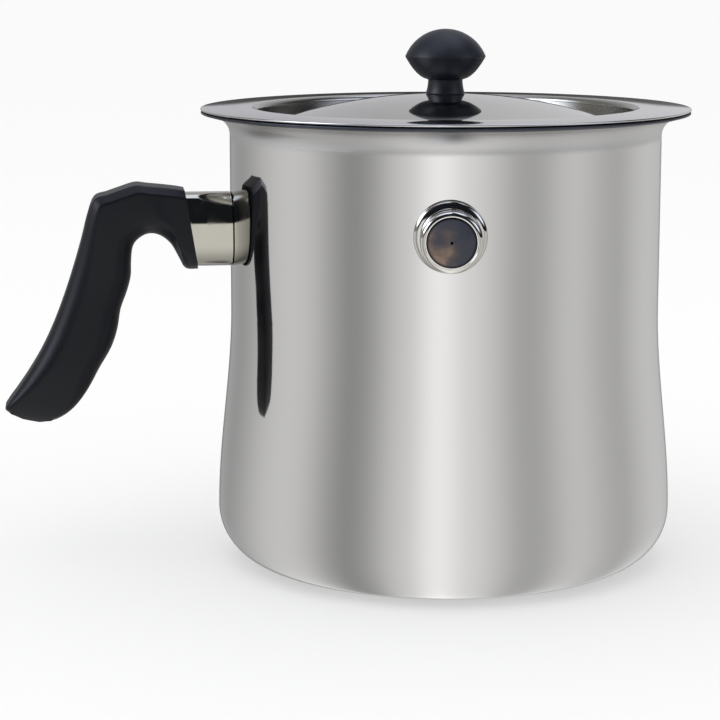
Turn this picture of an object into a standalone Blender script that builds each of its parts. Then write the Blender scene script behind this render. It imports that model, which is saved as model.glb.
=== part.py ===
"""Milk boiler: a double-walled steel pot with a water jacket, a lid, a screw-in filler cap and a handle.

Metres, +Z up. The origin is the middle of the base, on the pot's axis. The handle points along -X.
"""
from math import asin, cos, pi, radians, sin, sqrt, tan

import bmesh
import bpy
from mathutils import Vector

# Sheets and clearances
SHELL_SHEET = 0.0008
VESSEL_SHEET = 0.0008
LID_SHEET = 0.0007
FERRULE_SHEET = 0.0007
SEAT_GAP = 0.0003
CUT_OVERRUN = 0.004

# Outer shell
WALL_RADIUS = 0.0778
BELLY_SWELL = 0.0051
WAIST_HEIGHT = 0.093
BASE_CORNER_RADIUS = 0.0197
BASE_GROOVE_RADIUS = 0.052
BASE_GROOVE_WIDTH = 0.005
BASE_GROOVE_DEPTH = 0.0006
FLARE_RADIUS = 0.0065
FLARE_ANGLE = radians(75.5)

# Rim, where the vessel's flange lies on the shell's flare
RIM_HEIGHT = 0.1653
RIM_OVERHANG = 0.0104
RIM_RISE = 0.0003

# Inner vessel
RIM_INSET = 0.0097
LIP_RADIUS = 0.002
LID_RECESS_DEPTH = 0.0076
LEDGE_WIDTH = 0.0036
LEDGE_CORNER_RADIUS = 0.0008
LEDGE_LIP_RADIUS = 0.0015
VESSEL_CORNER_RADIUS = 0.022
JACKET_FLOOR_GAP = 0.0134

# Lid
LID_CLEARANCE = 0.0008
LID_RIM_WIDTH = 0.0023
LID_DOME_RADIUS = 0.197

# Knob
KNOB_RADIUS = 0.0145
KNOB_HEIGHT = 0.0231
KNOB_EQUATOR_HEIGHT = 0.0138
KNOB_BOWL_SAG = 0.00095
KNOB_NECK_RADIUS = 0.0062
KNOB_NECK_HEIGHT = 0.0053
KNOB_FOOT_RADIUS = 0.007
KNOB_INSERT_RADIUS = 0.0038
KNOB_INSERT_LENGTH = 0.0108
KNOB_INSERT_CEILING = 0.0012
KNOB_SCREW_RADIUS = 0.002
KNOB_SCREW_REACH = 0.008
KNOB_SCREW_HEAD_RADIUS = 0.0045
KNOB_SCREW_HEAD_HEIGHT = 0.0022
KNOB_WASHER_RADIUS = 0.007
KNOB_WASHER_THICKNESS = 0.001

# Filler: heights along its axis are measured outward from the wall
FILLER_DROP = 0.0378
FILLER_FROM_HANDLE = radians(82.5)
SOCKET_RING_RADIUS = 0.01235
SOCKET_RING_HEIGHT = 0.0021
SOCKET_RING_EDGE = 0.0007
SOCKET_TUBE_WALL = 0.002
SOCKET_TUBE_DEPTH = 0.007
SOCKET_MOUTH_DEPTH = 0.0004
SEAL_RADIUS = 0.0096
SEAL_THICKNESS = 0.001
CAP_RADIUS = 0.0104
CAP_HEIGHT = 0.013
CAP_SHOULDER_RADIUS = 0.0016
CAP_FACE_CROWN = 0.0003
CAP_STUD_RADIUS = 0.0057
CAP_STUD_DEPTH = 0.0049
CAP_EDGE = 0.0005
WHISTLE_BORE_RADIUS = 0.0027
WHISTLE_CHAMBER_RADIUS = 0.002
WHISTLE_CHAMBER_DEPTH = 0.003
WHISTLE_FACE_THICKNESS = 0.0012
WHISTLE_HOLE_RADIUS = 0.0008
WHISTLE_DISC_THICKNESS = 0.0006

# Handle: reach is measured outward from the pot's axis
HANDLE_DROP = 0.0264
GRIP_STANDOFF = 0.0122
GRIP_REACH = 0.070
GRIP_DROP = 0.0855
GRIP_WIDTH = 0.021
GRIP_SOCKET_DEPTH = 0.0025
FERRULE_TOP_DROP = 0.0033
FERRULE_HEIGHT = 0.0265
FERRULE_WIDTH = 0.0174
FERRULE_CORNER_RADIUS = 0.006
BRACKET_WIDTH = 0.013
BRACKET_HEIGHT = 0.020
BRACKET_THICKNESS = 0.002
BRACKET_SLEEVE_RADIUS = 0.004
HANDLE_SCREW_DROP = 0.011
HANDLE_SCREW_RADIUS = 0.002
HANDLE_SCREW_LENGTH = 0.036
HANDLE_SCREW_HEAD_RADIUS = 0.0036
HANDLE_SCREW_HEAD_HEIGHT = 0.0024
HANDLE_SCREW_SEAT = 0.0415
HANDLE_WASHER_THICKNESS = 0.0008
COUNTERBORE_CLEARANCE = 0.0005
SCREW_SLOT_WIDTH = 0.0009
SCREW_SLOT_DEPTH = 0.0011

# The grip's side outline, as shares of its reach outward and of its drop from the top.
# Each station has a point on the back, a point on the finger side, and the width share there.
GRIP_BACK_SHARES = (
    (0.066, 0.024), (0.114, 0.017), (0.186, 0.010), (0.257, 0.005), (0.314, 0.000),
    (0.386, 0.017), (0.457, 0.037), (0.523, 0.057), (0.560, 0.134), (0.594, 0.237),
    (0.636, 0.349), (0.686, 0.469), (0.741, 0.585), (0.800, 0.685), (0.866, 0.777),
    (0.933, 0.859), (0.983, 0.914), (0.994, 0.943), (0.914, 0.984),
)
GRIP_FINGER_SHARES = (
    (0.000, 0.359), (0.061, 0.356), (0.094, 0.313), (0.137, 0.250), (0.193, 0.213),
    (0.250, 0.205), (0.300, 0.224), (0.331, 0.259), (0.341, 0.320), (0.344, 0.384),
    (0.366, 0.450), (0.399, 0.523), (0.417, 0.607), (0.451, 0.687), (0.513, 0.771),
    (0.571, 0.855), (0.643, 0.931), (0.729, 0.983), (0.821, 1.000),
)
GRIP_WIDTH_SHARES = (
    0.96, 0.97, 0.98, 1.00, 1.00, 1.00, 1.00, 1.00, 1.00, 0.98,
    0.96, 0.96, 0.98, 1.00, 1.00, 0.95, 0.82, 0.62, 0.36,
)
GRIP_SQUARENESS_SHARES = (
    1.00, 1.00, 1.00, 1.00, 1.00, 0.98, 0.95, 0.90, 0.85, 0.80,
    0.75, 0.72, 0.70, 0.70, 0.70, 0.70, 0.70, 0.70, 0.70,
)
GRIP_SQUAREST_POWER = 3.6

# Smoothness
ROUND_STEPS = 44
SMALL_ROUND_STEPS = 28
SCREW_STEPS = 20
GRIP_RING_POINTS = 18
GRIP_RINGS_PER_STATION = 2
MERGE_DISTANCE = 0.00001

# Derived sizes
RIM_RADIUS = WALL_RADIUS + RIM_OVERHANG
RECESS_RADIUS = WALL_RADIUS - RIM_INSET
VESSEL_RADIUS = RECESS_RADIUS - LEDGE_WIDTH
VESSEL_FLOOR = SHELL_SHEET + JACKET_FLOOR_GAP + VESSEL_SHEET
LEDGE_HEIGHT = RIM_HEIGHT + RIM_RISE - LID_RECESS_DEPTH
LID_RADIUS = RECESS_RADIUS - LID_CLEARANCE
LID_RIM_TOP = SEAT_GAP + LID_SHEET
FILLER_HEIGHT = RIM_HEIGHT - FILLER_DROP
CAP_SEAT = SOCKET_RING_HEIGHT + SEAL_THICKNESS + 2 * SEAT_GAP
CAP_TOP = CAP_SEAT + CAP_HEIGHT
SOCKET_BORE_RADIUS = CAP_STUD_RADIUS + SEAT_GAP
SOCKET_TUBE_RADIUS = SOCKET_BORE_RADIUS + SOCKET_TUBE_WALL
GRIP_TOP = RIM_HEIGHT - HANDLE_DROP
GRIP_START = WALL_RADIUS + GRIP_STANDOFF
FERRULE_MIDDLE = GRIP_TOP - FERRULE_TOP_DROP - FERRULE_HEIGHT / 2
HANDLE_SCREW_HEIGHT = GRIP_TOP - HANDLE_SCREW_DROP
HANDLE_SCREW_HEAD_SEAT = WALL_RADIUS + HANDLE_SCREW_SEAT + HANDLE_WASHER_THICKNESS + 2 * SEAT_GAP


def clear_scene():
    """Remove what the scene holds."""
    for thing in list(bpy.data.objects):
        bpy.data.objects.remove(thing, do_unlink=True)


def make_collection(name):
    """Make a collection in the scene."""
    collection = bpy.data.collections.new(name)
    bpy.context.scene.collection.children.link(collection)
    return collection


def make_material(name, colour, roughness, metallic):
    """Make a material with a Principled shader."""
    material = bpy.data.materials.new(name)
    material.use_nodes = True
    shader = material.node_tree.nodes["Principled BSDF"]
    shader.inputs["Base Color"].default_value = (*colour, 1)
    shader.inputs["Roughness"].default_value = roughness
    shader.inputs["Metallic"].default_value = metallic
    material.diffuse_color = (*colour, 1)
    return material


def make_object(name, mesh, collection, material=None):
    """Put a mesh in the scene as a named object."""
    thing = bpy.data.objects.new(name, mesh)
    collection.objects.link(thing)
    if material:
        mesh.materials.append(material)
    return thing


def make_turned(name, profile, collection, material=None, steps=ROUND_STEPS, closed=False):
    """Turn a profile about +Z. It runs down its outer side, and closes on itself or ends on the axis."""
    mesh = bpy.data.meshes.new(name)
    edges = [(i, i + 1) for i in range(len(profile) - 1)]
    if closed:
        edges.append((len(profile) - 1, 0))
    mesh.from_pydata([(radius, 0, height) for radius, height in profile], edges, [])
    thing = make_object(name, mesh, collection, material)
    screw = thing.modifiers.new("turn", "SCREW")
    screw.steps = steps
    screw.render_steps = steps
    screw.use_merge_vertices = True
    screw.merge_threshold = MERGE_DISTANCE
    screw.use_smooth_shade = True
    return thing


def thicken(thing, thickness):
    """Give a turned sheet its thickness on the side away from its normals."""
    sheet = thing.modifiers.new("sheet", "SOLIDIFY")
    sheet.thickness = thickness
    sheet.offset = -1
    sheet.use_even_offset = True


def combine(thing, tool, operation):
    """Cut a piece with a tool, or join the tool to it."""
    boolean = thing.modifiers.new(operation.lower(), "BOOLEAN")
    boolean.object = tool
    boolean.operation = operation
    tool.hide_render = True
    tool.display_type = "WIRE"


def arc(centre, radius, start, end, count):
    """Points on an arc, both ends included, at angles from +X towards +Z."""
    angles = [start + (end - start) * i / count for i in range(count + 1)]
    return [(centre[0] + radius * cos(a), centre[1] + radius * sin(a)) for a in angles]


def bulged(start, end, sag, count):
    """Points on an arc between two ends that bulges to the left of the way it runs."""
    along = Vector(end) - Vector(start)
    chord = along.length
    radius = (chord ** 2 / 4 + sag ** 2) / (2 * sag)
    side = Vector((-along.y, along.x)) / chord
    centre = (Vector(start) + Vector(end)) / 2 + side * (sag - radius)
    half = asin(chord / 2 / radius)
    turns = [half - 2 * half * i / count for i in range(count + 1)]
    return [tuple(centre + radius * (cos(t) * side - sin(t) * along / chord)) for t in turns]


def wall_radius_at(height):
    """Outer radius of the shell's wall, which swells below the waist."""
    if height >= WAIST_HEIGHT:
        return WALL_RADIUS
    share = (WAIST_HEIGHT - height) / (WAIST_HEIGHT - BASE_CORNER_RADIUS)
    return WALL_RADIUS + BELLY_SWELL * share ** 2 * (3 - 2 * share)


def swelling_wall():
    """Outer side of the shell's wall, from its waist down to the rounded corner of its base."""
    points = []
    steps = 6
    for step in range(steps):
        height = WAIST_HEIGHT + (BASE_CORNER_RADIUS - WAIST_HEIGHT) * step / steps
        points.append((wall_radius_at(height), height))
    return points


def shell_profile():
    """Outer side of the shell, from its welded edge down to the middle of its base."""
    slope = pi / 2 - FLARE_ANGLE
    edge = RIM_HEIGHT - VESSEL_SHEET - SEAT_GAP - SHELL_SHEET * cos(slope)
    flare_end = WALL_RADIUS + FLARE_RADIUS * (1 - cos(FLARE_ANGLE))
    flare_top = edge - (RIM_RADIUS - flare_end) * tan(slope)
    flare_centre = (WALL_RADIUS + FLARE_RADIUS, flare_top - FLARE_RADIUS * sin(FLARE_ANGLE))
    points = [(RIM_RADIUS, edge)]
    points += arc(flare_centre, FLARE_RADIUS, pi - FLARE_ANGLE, pi, 4)
    points += swelling_wall()
    corner = (WALL_RADIUS + BELLY_SWELL - BASE_CORNER_RADIUS, BASE_CORNER_RADIUS)
    points += arc(corner, BASE_CORNER_RADIUS, 0, -pi / 2, 5)
    for side in (1, -1):
        groove_edge = (BASE_GROOVE_RADIUS + side * BASE_GROOVE_WIDTH / 2, 0)
        groove_floor = (groove_edge[0] - side * BASE_GROOVE_DEPTH, BASE_GROOVE_DEPTH)
        points += [groove_edge, groove_floor][::side]
    points.append((0, 0))
    return points


def vessel_profile():
    """Wet side of the inner vessel, from its flange's edge down to the middle of its floor."""
    sheet = VESSEL_SHEET
    lip_top = RIM_HEIGHT + RIM_RISE
    points = [(RIM_RADIUS, RIM_HEIGHT - sheet)]
    lip = (RECESS_RADIUS + LIP_RADIUS, lip_top - LIP_RADIUS)
    points += arc(lip, LIP_RADIUS - sheet, pi / 2, pi, 3)
    ledge_corner = (RECESS_RADIUS - LEDGE_CORNER_RADIUS, LEDGE_HEIGHT + LEDGE_CORNER_RADIUS)
    points += arc(ledge_corner, LEDGE_CORNER_RADIUS + sheet, 0, -pi / 2, 3)
    ledge_lip = (VESSEL_RADIUS + LEDGE_LIP_RADIUS, LEDGE_HEIGHT - LEDGE_LIP_RADIUS)
    points += arc(ledge_lip, LEDGE_LIP_RADIUS - sheet, pi / 2, pi, 2)
    corner = (VESSEL_RADIUS - VESSEL_CORNER_RADIUS, VESSEL_FLOOR + VESSEL_CORNER_RADIUS)
    points += arc(corner, VESSEL_CORNER_RADIUS + sheet, 0, -pi / 2, 5)
    points.append((0, VESSEL_FLOOR - sheet))
    return points


def lid_dome_height(radius):
    """Height of the lid's dome over the ledge, at a distance from its middle."""
    foot = LID_RADIUS - LID_RIM_WIDTH
    foot_drop = sqrt(LID_DOME_RADIUS ** 2 - foot ** 2)
    return LID_RIM_TOP + sqrt(LID_DOME_RADIUS ** 2 - radius ** 2) - foot_drop


KNOB_FOOT_HEIGHT = LEDGE_HEIGHT + lid_dome_height(0) + SEAT_GAP


def build_outer_shell(parts, cutters, steel):
    """The outer shell, with a hole for the filler's socket."""
    shell = make_turned("outer_shell", shell_profile(), parts, steel)
    thicken(shell, SHELL_SHEET)
    hole = SOCKET_TUBE_RADIUS + SEAT_GAP
    profile = [(0, CUT_OVERRUN), (hole, CUT_OVERRUN), (hole, -CUT_OVERRUN), (0, -CUT_OVERRUN)]
    drill = make_turned("filler_hole_cutter", profile, cutters, steps=SMALL_ROUND_STEPS)
    place_on_filler(drill)
    combine(shell, drill, "DIFFERENCE")


def build_inner_vessel(parts, steel):
    """The inner vessel, whose flange is the rim and whose ledge carries the lid."""
    vessel = make_turned("inner_vessel", vessel_profile(), parts, steel)
    thicken(vessel, VESSEL_SHEET)


def build_lid(parts, steel):
    """The lid: a dome with a flat edge that lies on the ledge, and a hole for the knob's screw."""
    hole = KNOB_SCREW_RADIUS + SEAT_GAP
    foot = LID_RADIUS - LID_RIM_WIDTH
    dome_steps = 6
    radii = [hole + (foot - hole) * i / dome_steps for i in range(dome_steps + 1)]
    profile = [(radius, lid_dome_height(radius)) for radius in radii]
    profile.append((LID_RADIUS, LID_RIM_TOP))
    lid = make_turned("lid", profile, parts, steel)
    thicken(lid, LID_SHEET)
    lid.location.z = LEDGE_HEIGHT


def build_knob(parts, phenolic):
    """The knob: a domed crown, a bowl below its sharp equator, a flared neck and a bore."""
    crown_height = KNOB_HEIGHT - KNOB_EQUATOR_HEIGHT
    crown_radius = (KNOB_RADIUS ** 2 + crown_height ** 2) / (2 * crown_height)
    crown_end = pi / 2 - asin(KNOB_RADIUS / crown_radius)
    profile = arc((0, KNOB_HEIGHT - crown_radius), crown_radius, pi / 2, crown_end, 7)
    equator = (KNOB_RADIUS, KNOB_EQUATOR_HEIGHT)
    neck = (KNOB_NECK_RADIUS, KNOB_NECK_HEIGHT)
    profile += bulged(equator, neck, KNOB_BOWL_SAG, 5)[1:]
    bore = KNOB_INSERT_RADIUS + SEAT_GAP
    ceiling = KNOB_INSERT_LENGTH + SEAT_GAP
    profile += [(KNOB_FOOT_RADIUS, 0), (bore, 0), (bore, ceiling), (0, ceiling)]
    profile[0] = (0, KNOB_HEIGHT)
    knob = make_turned("knob", profile, parts, phenolic, SMALL_ROUND_STEPS)
    knob.location.z = KNOB_FOOT_HEIGHT


def build_knob_insert(parts, brass):
    """The threaded insert inside the knob, open below."""
    bore = KNOB_SCREW_RADIUS + SEAT_GAP
    ceiling = KNOB_INSERT_LENGTH - KNOB_INSERT_CEILING
    profile = [(0, KNOB_INSERT_LENGTH), (KNOB_INSERT_RADIUS, KNOB_INSERT_LENGTH)]
    profile += [(KNOB_INSERT_RADIUS, 0), (bore, 0), (bore, ceiling), (0, ceiling)]
    insert = make_turned("knob_insert", profile, parts, brass, SCREW_STEPS)
    insert.location.z = KNOB_FOOT_HEIGHT


def build_knob_screw(parts, cutters, steel):
    """The washer and the slotted screw that hold the knob from below the lid."""
    underside = LEDGE_HEIGHT + lid_dome_height(0) - LID_SHEET - SEAT_GAP
    hole = KNOB_SCREW_RADIUS + SEAT_GAP
    profile = [(hole, 0), (KNOB_WASHER_RADIUS, 0)]
    profile += [(radius, -KNOB_WASHER_THICKNESS) for radius, height in profile[::-1]]
    washer = make_turned("knob_washer", profile, parts, steel, SCREW_STEPS, closed=True)
    washer.location.z = underside
    seat = underside - KNOB_WASHER_THICKNESS - SEAT_GAP
    tip = KNOB_FOOT_HEIGHT + KNOB_SCREW_REACH - seat
    screw = make_screw("knob_screw", KNOB_SCREW_RADIUS, tip, KNOB_SCREW_HEAD_RADIUS,
                       KNOB_SCREW_HEAD_HEIGHT, parts, cutters, steel)
    screw.location.z = seat


def make_screw(name, radius, tip, head_radius, head_height, parts, cutters, steel):
    """A slotted screw with its shank along its own +Z and its head below its origin."""
    tip_chamfer = radius / 3
    head_edge = head_height / 3
    profile = [(0, tip), (radius - tip_chamfer, tip), (radius, tip - tip_chamfer), (radius, 0)]
    profile += [(head_radius, 0), (head_radius, head_edge - head_height)]
    profile += [(head_radius - head_edge, -head_height), (0, -head_height)]
    screw = make_turned(name, profile, parts, steel, SCREW_STEPS)
    size = (SCREW_SLOT_WIDTH, 2 * head_radius + CUT_OVERRUN, 2 * SCREW_SLOT_DEPTH)
    slot = make_box(name + "_slot_cutter", size, cutters)
    slot.parent = screw
    slot.location.z = -head_height
    combine(screw, slot, "DIFFERENCE")
    return screw


def make_box(name, size, collection, material=None):
    """A box about its own origin."""
    mesh = bpy.data.meshes.new(name)
    shape = bmesh.new()
    bmesh.ops.create_cube(shape, size=1)
    bmesh.ops.scale(shape, vec=size, verts=shape.verts)
    shape.to_mesh(mesh)
    shape.free()
    return make_object(name, mesh, collection, material)


def place_on_filler(thing):
    """Stand a piece on the wall with its +Z along the filler's axis."""
    outward = Vector((-cos(FILLER_FROM_HANDLE), -sin(FILLER_FROM_HANDLE), 0))
    thing.location = outward * WALL_RADIUS + Vector((0, 0, FILLER_HEIGHT))
    thing.rotation_euler = outward.to_track_quat("Z", "Y").to_euler()


def make_wall_cutter(name, cutters):
    """The wall as a solid that leaves a welded piece the seat gap."""
    profile = [(0, RIM_HEIGHT), (WALL_RADIUS + SEAT_GAP, RIM_HEIGHT)]
    profile += [(radius + SEAT_GAP, height) for radius, height in swelling_wall()]
    profile.append((0, profile[-1][1]))
    return make_turned(name, profile, cutters, steps=2 * ROUND_STEPS)


def build_filler_socket(parts, cutters, steel):
    """The filler's socket: a ring shaped to the wall, and a threaded tube through it."""
    overlap = SOCKET_TUBE_WALL / 2
    inner = SOCKET_BORE_RADIUS + overlap
    wall_drop = WALL_RADIUS - sqrt(WALL_RADIUS ** 2 - SOCKET_RING_RADIUS ** 2)
    foot = -wall_drop - SOCKET_RING_EDGE
    rim = (SOCKET_RING_RADIUS - SOCKET_RING_EDGE, SOCKET_RING_HEIGHT - SOCKET_RING_EDGE)
    profile = [(inner, SOCKET_RING_HEIGHT)] + arc(rim, SOCKET_RING_EDGE, pi / 2, 0, 3)
    profile += [(SOCKET_RING_RADIUS, foot), (inner, foot)]
    socket = make_turned("filler_socket", profile, parts, steel, SMALL_ROUND_STEPS, closed=True)
    place_on_filler(socket)
    combine(socket, make_wall_cutter("socket_wall_cutter", cutters), "DIFFERENCE")
    mouth = SOCKET_RING_HEIGHT - SOCKET_MOUTH_DEPTH
    profile = [(SOCKET_BORE_RADIUS, mouth), (SOCKET_TUBE_RADIUS, mouth)]
    profile += [(radius, -SOCKET_TUBE_DEPTH) for radius, height in profile[::-1]]
    tube = make_turned("socket_tube", profile, cutters, steps=SMALL_ROUND_STEPS, closed=True)
    place_on_filler(tube)
    combine(socket, tube, "UNION")


def build_filler_seal(parts, rubber):
    """The seal between the socket's ring and the cap."""
    bottom = SOCKET_RING_HEIGHT + SEAT_GAP
    profile = [(SOCKET_BORE_RADIUS, bottom + SEAL_THICKNESS), (SEAL_RADIUS, bottom + SEAL_THICKNESS)]
    profile += [(radius, bottom) for radius, height in profile[::-1]]
    seal = make_turned("filler_seal", profile, parts, rubber, SMALL_ROUND_STEPS, closed=True)
    place_on_filler(seal)


def build_filler_cap(parts, steel):
    """The cap: a round head, a stud that screws into the socket, and the whistle's bore."""
    face = CAP_TOP + CAP_FACE_CROWN
    shoulder = (CAP_RADIUS - CAP_SHOULDER_RADIUS, CAP_TOP - CAP_SHOULDER_RADIUS)
    chamber_top = face - WHISTLE_FACE_THICKNESS
    disc_seat = chamber_top - WHISTLE_CHAMBER_DEPTH
    profile = [(WHISTLE_HOLE_RADIUS, face)] + arc(shoulder, CAP_SHOULDER_RADIUS, pi / 2, 0, 4)
    profile += [(CAP_RADIUS, CAP_SEAT + CAP_EDGE), (CAP_RADIUS - CAP_EDGE, CAP_SEAT)]
    profile += [(CAP_STUD_RADIUS, CAP_SEAT), (CAP_STUD_RADIUS, CAP_EDGE - CAP_STUD_DEPTH)]
    profile += [(CAP_STUD_RADIUS - CAP_EDGE, -CAP_STUD_DEPTH), (WHISTLE_BORE_RADIUS, -CAP_STUD_DEPTH)]
    profile += [(WHISTLE_BORE_RADIUS, disc_seat), (WHISTLE_CHAMBER_RADIUS, disc_seat)]
    profile += [(WHISTLE_CHAMBER_RADIUS, chamber_top), (WHISTLE_HOLE_RADIUS, chamber_top)]
    cap = make_turned("filler_cap", profile, parts, steel, SMALL_ROUND_STEPS, closed=True)
    place_on_filler(cap)


def build_whistle_disc(parts, brass):
    """The whistle's second disc, on the step of the cap's bore."""
    face = CAP_TOP + CAP_FACE_CROWN
    top = face - WHISTLE_FACE_THICKNESS - WHISTLE_CHAMBER_DEPTH - SEAT_GAP
    profile = [(WHISTLE_HOLE_RADIUS, top), (WHISTLE_BORE_RADIUS - SEAT_GAP, top)]
    profile += [(radius, top - WHISTLE_DISC_THICKNESS) for radius, height in profile[::-1]]
    disc = make_turned("whistle_disc", profile, parts, brass, SCREW_STEPS, closed=True)
    place_on_filler(disc)


def grip_point(shares):
    """A point of the grip's side outline as reach from the pot's axis and height."""
    return Vector((GRIP_START + shares[0] * GRIP_REACH, GRIP_TOP - shares[1] * GRIP_DROP))


def end_face_reach(height):
    """Reach of the grip's slanted end face at a height."""
    top = grip_point(GRIP_BACK_SHARES[0])
    bottom = grip_point(GRIP_FINGER_SHARES[0])
    return bottom.x + (top.x - bottom.x) * (height - bottom.y) / (top.y - bottom.y)


def smooth_stations(values):
    """Values between the stations, on a smooth curve through them."""
    last = len(values) - 1
    smoothed = []
    for station in range(last):
        before, start, end, after = (values[min(max(station + k, 0), last)] for k in (-1, 0, 1, 2))
        for step in range(GRIP_RINGS_PER_STATION):
            t = step / GRIP_RINGS_PER_STATION
            bend = (2 * before - 5 * start + 4 * end - after) * t ** 2
            twist = (3 * start - before - 3 * end + after) * t ** 3
            smoothed.append(start + ((end - before) * t + bend + twist) / 2)
    return smoothed + [values[last]]


def squared_ring(middle, half, half_width, power, count):
    """A ring round a middle point: an ellipse squared off by a power, in the plane of half and Y."""
    ring = []
    for i in range(count):
        angle = 2 * pi * i / count
        across = abs(cos(angle)) ** (2 / power) * (1 if cos(angle) >= 0 else -1)
        aside = abs(sin(angle)) ** (2 / power) * (1 if sin(angle) >= 0 else -1)
        point = middle + half * across
        ring.append((-point.x, aside * half_width, point.y))
    return ring


def make_loft(name, rings, collection, material=None, capped=True):
    """Join rings of equal count in order, with end faces or with the last ring joined to the first."""
    mesh = bpy.data.meshes.new(name)
    shape = bmesh.new()
    loops = [[shape.verts.new(point) for point in ring] for ring in rings]
    following = loops[1:] if capped else loops[1:] + loops[:1]
    for loop, after in zip(loops, following):
        for i in range(len(loop)):
            j = (i + 1) % len(loop)
            shape.faces.new((loop[i], loop[j], after[j], after[i]))
    if capped:
        shape.faces.new(loops[0])
        shape.faces.new(loops[-1])
    bmesh.ops.recalc_face_normals(shape, faces=shape.faces)
    shape.to_mesh(mesh)
    shape.free()
    mesh.shade_smooth()
    mesh.set_sharp_from_angle(angle=radians(40))
    return make_object(name, mesh, collection, material)


def build_handle_grip(parts, cutters, phenolic):
    """The grip: a hooked loft with a socket for the ferrule and a counterbored screw hole."""
    back = smooth_stations([grip_point(shares) for shares in GRIP_BACK_SHARES])
    finger = smooth_stations([grip_point(shares) for shares in GRIP_FINGER_SHARES])
    widths = smooth_stations(GRIP_WIDTH_SHARES)
    squareness = smooth_stations(GRIP_SQUARENESS_SHARES)
    rings = []
    for outer, inner, width, square in zip(back, finger, widths, squareness):
        middle = (outer + inner) / 2
        power = GRIP_SQUAREST_POWER * square
        rings.append(squared_ring(middle, outer - middle, width * GRIP_WIDTH / 2, power, GRIP_RING_POINTS))
    grip = make_loft("handle_grip", rings, parts, phenolic)
    socket = ferrule_ring(SEAT_GAP)
    mouth = [(-end_face_reach(z) + CUT_OVERRUN, y, z) for y, z in socket]
    floor = [(-end_face_reach(z) - GRIP_SOCKET_DEPTH, y, z) for y, z in socket]
    combine(grip, make_loft("grip_socket_cutter", [mouth, floor], cutters), "DIFFERENCE")
    seat = WALL_RADIUS + HANDLE_SCREW_SEAT
    hole = HANDLE_SCREW_RADIUS + SEAT_GAP
    counterbore = HANDLE_SCREW_HEAD_RADIUS + COUNTERBORE_CLEARANCE
    outside = GRIP_START + GRIP_REACH
    profile = [(0, outside), (counterbore, outside), (counterbore, seat)]
    profile += [(hole, seat), (hole, GRIP_START), (0, GRIP_START)]
    drill = make_turned("grip_drill_cutter", profile, cutters, steps=SCREW_STEPS)
    place_on_handle_screw(drill, 0)
    combine(grip, drill, "DIFFERENCE")


def ferrule_ring(growth):
    """The ferrule's outer outline as (y, z) points, grown by a clearance or shrunk by a sheet."""
    half_width = FERRULE_WIDTH / 2 - FERRULE_CORNER_RADIUS
    half_height = FERRULE_HEIGHT / 2 - FERRULE_CORNER_RADIUS
    ring = []
    for quarter, (side, level) in enumerate(((1, 1), (-1, 1), (-1, -1), (1, -1))):
        corner = (side * half_width, FERRULE_MIDDLE + level * half_height)
        start = quarter * pi / 2
        ring += arc(corner, FERRULE_CORNER_RADIUS + growth, start, start + pi / 2, 5)
    return ring


def build_ferrule(parts, steel):
    """The ferrule: a sleeve from the wall into the grip's socket."""
    rings = []
    for growth, at_wall in ((0, True), (0, False), (-FERRULE_SHEET, False), (-FERRULE_SHEET, True)):
        ring = []
        for y, z in ferrule_ring(growth):
            reach = end_face_reach(z) + GRIP_SOCKET_DEPTH - SEAT_GAP
            if at_wall:
                reach = sqrt((wall_radius_at(z) + SEAT_GAP) ** 2 - y ** 2)
            ring.append((-reach, y, z))
        rings.append(ring)
    make_loft("ferrule", rings, parts, steel, capped=False)


def place_on_handle_screw(thing, reach):
    """Put a piece on the handle screw's axis with its own +Z pointing away from the pot."""
    thing.location = (-reach, 0, HANDLE_SCREW_HEIGHT)
    thing.rotation_euler = (0, -pi / 2, 0)


def build_handle_bracket(parts, cutters, steel):
    """The bracket welded to the wall: a plate shaped to it, with a threaded sleeve for the screw."""
    size = (BRACKET_THICKNESS + CUT_OVERRUN, BRACKET_WIDTH, BRACKET_HEIGHT)
    bracket = make_box("handle_bracket", size, parts, steel)
    bracket.location = (CUT_OVERRUN / 2 - WALL_RADIUS - BRACKET_THICKNESS / 2, 0, FERRULE_MIDDLE)
    combine(bracket, make_wall_cutter("bracket_wall_cutter", cutters), "DIFFERENCE")
    start = WALL_RADIUS + BRACKET_THICKNESS / 2
    lowest = HANDLE_SCREW_HEIGHT - BRACKET_SLEEVE_RADIUS
    end = end_face_reach(lowest) + GRIP_SOCKET_DEPTH - SEAT_GAP
    outline = [(0, end), (BRACKET_SLEEVE_RADIUS, end), (BRACKET_SLEEVE_RADIUS, start), (0, start)]
    sleeve = make_turned("bracket_sleeve", outline, cutters, steps=SCREW_STEPS)
    place_on_handle_screw(sleeve, 0)
    combine(bracket, sleeve, "UNION")
    bore = HANDLE_SCREW_RADIUS + SEAT_GAP
    deep = HANDLE_SCREW_HEAD_SEAT - HANDLE_SCREW_LENGTH - SEAT_GAP
    outline = [(0, end + CUT_OVERRUN), (bore, end + CUT_OVERRUN), (bore, deep), (0, deep)]
    drill = make_turned("bracket_drill_cutter", outline, cutters, steps=SCREW_STEPS)
    place_on_handle_screw(drill, 0)
    combine(bracket, drill, "DIFFERENCE")


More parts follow.
